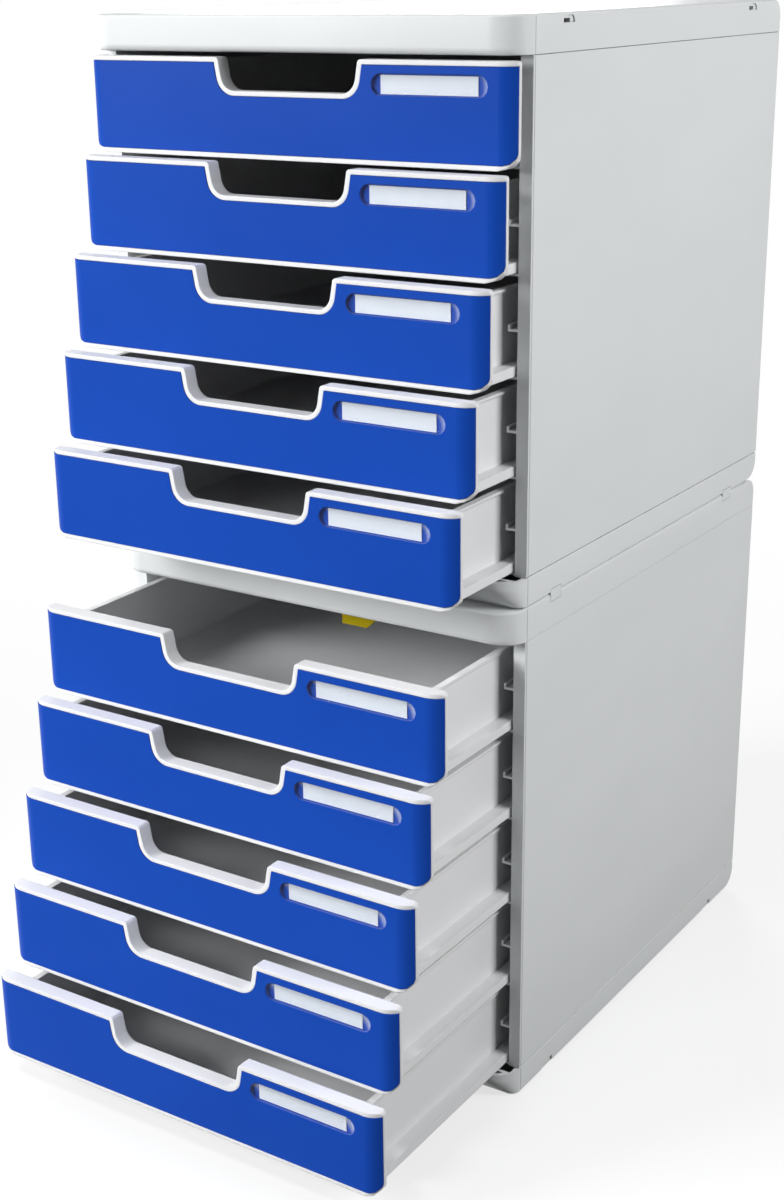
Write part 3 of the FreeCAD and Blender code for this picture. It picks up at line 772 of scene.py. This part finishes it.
def even_skin() -> bpy.types.NodeTree:
    """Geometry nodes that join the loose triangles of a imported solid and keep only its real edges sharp.

    Returns:
        The node tree, for a modifier.
    """
    tree = bpy.data.node_groups.new("even_skin", "GeometryNodeTree")
    for in_out in ("INPUT", "OUTPUT"):
        tree.interface.new_socket(name="Geometry", in_out=in_out, socket_type="NodeSocketGeometry")
    graph = Graph(tree)
    merge = graph.add("GeometryNodeMergeByDistance")
    merge.inputs["Distance"].default_value = WELD_DISTANCE
    graph.join(graph.add("NodeGroupInput").outputs["Geometry"], merge.inputs["Geometry"])
    turn = graph.add("GeometryNodeInputMeshEdgeAngle").outputs["Unsigned Angle"]
    sharp = graph.add("FunctionNodeCompare", data_type="FLOAT", operation="GREATER_THAN")
    graph.join(turn, sharp.inputs[0])
    sharp.inputs[1].default_value = SHARP_ANGLE
    normal = graph.add("GeometryNodeSetMeshNormal", mode="SHARPNESS")
    graph.join(merge.outputs["Geometry"], normal.inputs["Mesh"])
    graph.join(sharp.outputs["Result"], normal.inputs["Edge Sharpness"])
    graph.join(normal.outputs["Mesh"], graph.add("NodeGroupOutput").inputs["Geometry"])
    return tree


class Wardrobe:
    """Makes each finish once and puts it on pieces."""

    def __init__(self) -> None:
        """Build the shared effects."""
        self.effects = SurfaceEffects()
        self.skin = even_skin()
        self.made: dict[str, bpy.types.Material] = {}

    def material(self, finish: Finish) -> bpy.types.Material:
        """Material of a finish, made on first use.

        Args:
            finish: The finish.

        Returns:
            Its material.
        """
        if finish.name not in self.made:
            self.made[finish.name] = finish.material(self.effects)
        return self.made[finish.name]

    def wear(self, obj: bpy.types.Object, finish: Finish) -> None:
        """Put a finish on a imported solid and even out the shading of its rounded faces."""
        obj.data.materials.clear()
        obj.data.materials.append(self.material(finish))
        obj.modifiers.new("even_skin", "NODES").node_group = self.skin
        weighted = obj.modifiers.new("weighted_normals", "WEIGHTED_NORMAL")
        weighted.keep_sharp = True


# Studio


@dataclass(frozen=True)
class StudioCamera:
    """Camera of the picture: pixels are those of the 784 by 1200 frame, places are metres."""

    width: int = 784
    height: int = 1200
    focal: float = 1842.92
    centre: tuple[float, float] = (368.22, 623.26)
    place: tuple[float, float, float] = (0.61826, -1.02405, 0.66313)
    yaw: float = 0.59100
    pitch: float = 0.34171
    roll: float = -0.01610
    sensor: float = 36.0
    clip: tuple[float, float] = (0.05, 50.0)

    def build(self) -> bpy.types.Object:
        """Make the camera and set it as the scene's own.

        Returns:
            The camera object.
        """
        forward = np.array([-math.sin(self.yaw) * math.cos(self.pitch),
                            math.cos(self.yaw) * math.cos(self.pitch), -math.sin(self.pitch)])
        level = np.array([math.cos(self.yaw), math.sin(self.yaw), 0.0])
        up = np.cross(level, forward)
        right = math.cos(self.roll) * level + math.sin(self.roll) * up
        top = -math.sin(self.roll) * level + math.cos(self.roll) * up
        data = bpy.data.cameras.new("studio_camera")
        data.sensor_width = self.sensor
        data.lens = self.focal * self.sensor / self.height
        data.shift_x = (self.width / 2 - self.centre[0]) / self.height
        data.shift_y = (self.centre[1] - self.height / 2) / self.height
        data.clip_start, data.clip_end = self.clip
        camera = bpy.data.objects.new("studio_camera", data)
        turned = Matrix(np.stack((right, top, -forward), axis=1).tolist()).to_4x4()
        camera.matrix_world = Matrix.Translation(self.place) @ turned
        bpy.context.scene.collection.objects.link(camera)
        bpy.context.scene.camera = camera
        return camera


@dataclass(frozen=True)
class SoftBox:
    """A rectangular lamp that looks at the stack."""

    name: str
    place: tuple[float, float, float]
    target: tuple[float, float, float]
    size: tuple[float, float]
    power: float
    spread: float = math.pi

    def build(self) -> bpy.types.Object:
        """Make the lamp.

        Returns:
            The lamp object.
        """
        data = bpy.data.lights.new(self.name, "AREA")
        data.shape = "RECTANGLE"
        data.size, data.size_y = self.size
        data.energy = self.power
        data.spread = self.spread
        lamp = bpy.data.objects.new(self.name, data)
        lamp.location = self.place
        lamp.rotation_euler = (Vector(self.target) - lamp.location).to_track_quat("-Z", "Y").to_euler()
        bpy.context.scene.collection.objects.link(lamp)
        return lamp


@dataclass
class Studio:
    """Pale floor, even surroundings and soft lamps.

    The floor shows its colour to the camera and its shade to the light that it throws back. Between the
    two lengths of the fade span it turns from paper into plain white.
    """

    ambient: float = 0.04
    floor_reach: float = 14.0
    floor_stations: int = 9
    floor_drift: float = 0.03
    floor_clouds: Pattern = Pattern(3.0)
    floor_roughness: float = 0.9
    floor_colour: tuple[float, float, float] = (0.88, 0.88, 0.88)
    floor_shade: tuple[float, float, float] = (0.15, 0.15, 0.15)
    fade_span: tuple[float, float] = (0.35, 1.3)
    fade_share: tuple[float, float] = (0.7, 1.0)
    lamps: tuple[SoftBox, ...] = (
        SoftBox("key_softbox", (-1.7, -2.15, 1.3), (0.0, -0.1, 0.35), (1.25, 1.25), 108.0),
        SoftBox("side_softbox", (1.5, 0.0, 1.1), (0.144, 0.0, 0.4), (0.7, 0.7), 20.8),
        SoftBox("tray_softbox", (0.0, -0.95, 1.5), (0.0, -0.42, 0.05), (0.35, 0.2), 0.7, math.radians(50)),
        SoftBox("back_softbox", (-1.3, 2.0, 0.7), (0.0, 0.0, 0.35), (0.9, 0.9), 42.0),
    )

    def build(self) -> None:
        """Make the floor, the surroundings and the lamps."""
        self._world()
        self._floor()
        for lamp in self.lamps:
            lamp.build()

    @staticmethod
    def _seen(graph: Graph) -> bpy.types.NodeSocket:
        """1 where a ray comes from the camera or from gloss or clear plastic."""
        path = graph.add("ShaderNodeLightPath")
        seen = graph.math("MAXIMUM", path.outputs["Is Camera Ray"], path.outputs["Is Glossy Ray"])
        return graph.math("MAXIMUM", seen, path.outputs["Is Transmission Ray"])

    def _world(self) -> None:
        """White to the camera and in reflections, dimmer as a light."""
        world = bpy.data.worlds.new("studio_surroundings")
        bpy.context.scene.world = world
        world.use_nodes = True
        graph = Graph(world.node_tree)
        background = world.node_tree.nodes["Background"]
        strength = graph.span(self._seen(graph), MASK_SPAN, (self.ambient, 1.0))
        graph.join(strength, background.inputs["Strength"])
        background.inputs["Color"].default_value = (1.0, 1.0, 1.0, 1.0)

    def _floor(self) -> None:
        """Pale sheet under the stack that looks white and keeps its shadow."""
        reach = self.floor_reach
        steps = np.linspace(-reach, reach, self.floor_stations)
        y, x = np.meshgrid(steps, steps, indexing="ij")
        draft = MeshDraft()
        draft.surface(np.stack((x, y, np.zeros_like(x)), axis=-1), False)
        floor = draft.build("studio_floor")
        material, graph, shader = blank_material("studio_paper")
        place = graph.own_place()
        seen = self._seen(graph)
        drift = graph.span(graph.noise(place, self.floor_clouds), NOISE_SPAN, (-self.floor_drift, 0.0))
        tone = graph.math("ADD", seen, drift)
        graph.join(graph.blend(tone, self.floor_shade, self.floor_colour), shader.inputs["Base Color"])
        shader.inputs["Roughness"].default_value = self.floor_roughness
        length = graph.add("ShaderNodeVectorMath", operation="LENGTH")
        graph.join(place, length.inputs[0])
        share = graph.span(length.outputs["Value"], self.fade_span, self.fade_share)
        glow = graph.add("ShaderNodeEmission")
        mix = graph.add("ShaderNodeMixShader")
        graph.join(graph.math("MULTIPLY", seen, share), mix.inputs["Fac"])
        graph.join(shader.outputs["BSDF"], mix.inputs[1])
        graph.join(glow.outputs["Emission"], mix.inputs[2])
        output = material.node_tree.nodes["Material Output"]
        graph.join(mix.outputs["Shader"], output.inputs["Surface"])
        floor.data.materials.append(material)


def main() -> None:
    """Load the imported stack, dress it, light it and place the camera."""
    logging.basicConfig(level=logging.INFO, format="%(message)s")
    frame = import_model()
    bpy.context.scene.view_settings.view_transform = "Standard"
    StudioCamera().build()
    Studio().build()
    wardrobe = Wardrobe()
    pieces = []
    for level in Level:
        pieces += Casing(level, frame["nodes"]).dress(wardrobe)
        for row in range(1, DRAWER_COUNT + 1):
            pieces += Drawer(level, row, frame["nodes"]).dress(wardrobe)
    wardrobe.wear(frame["nodes"]["stacking_clips"], CASING)
    pieces.append("stacking_clips")
    for name in pieces:
        LOG.info("dressed %s", name)


if __name__ == "__main__":
    main()
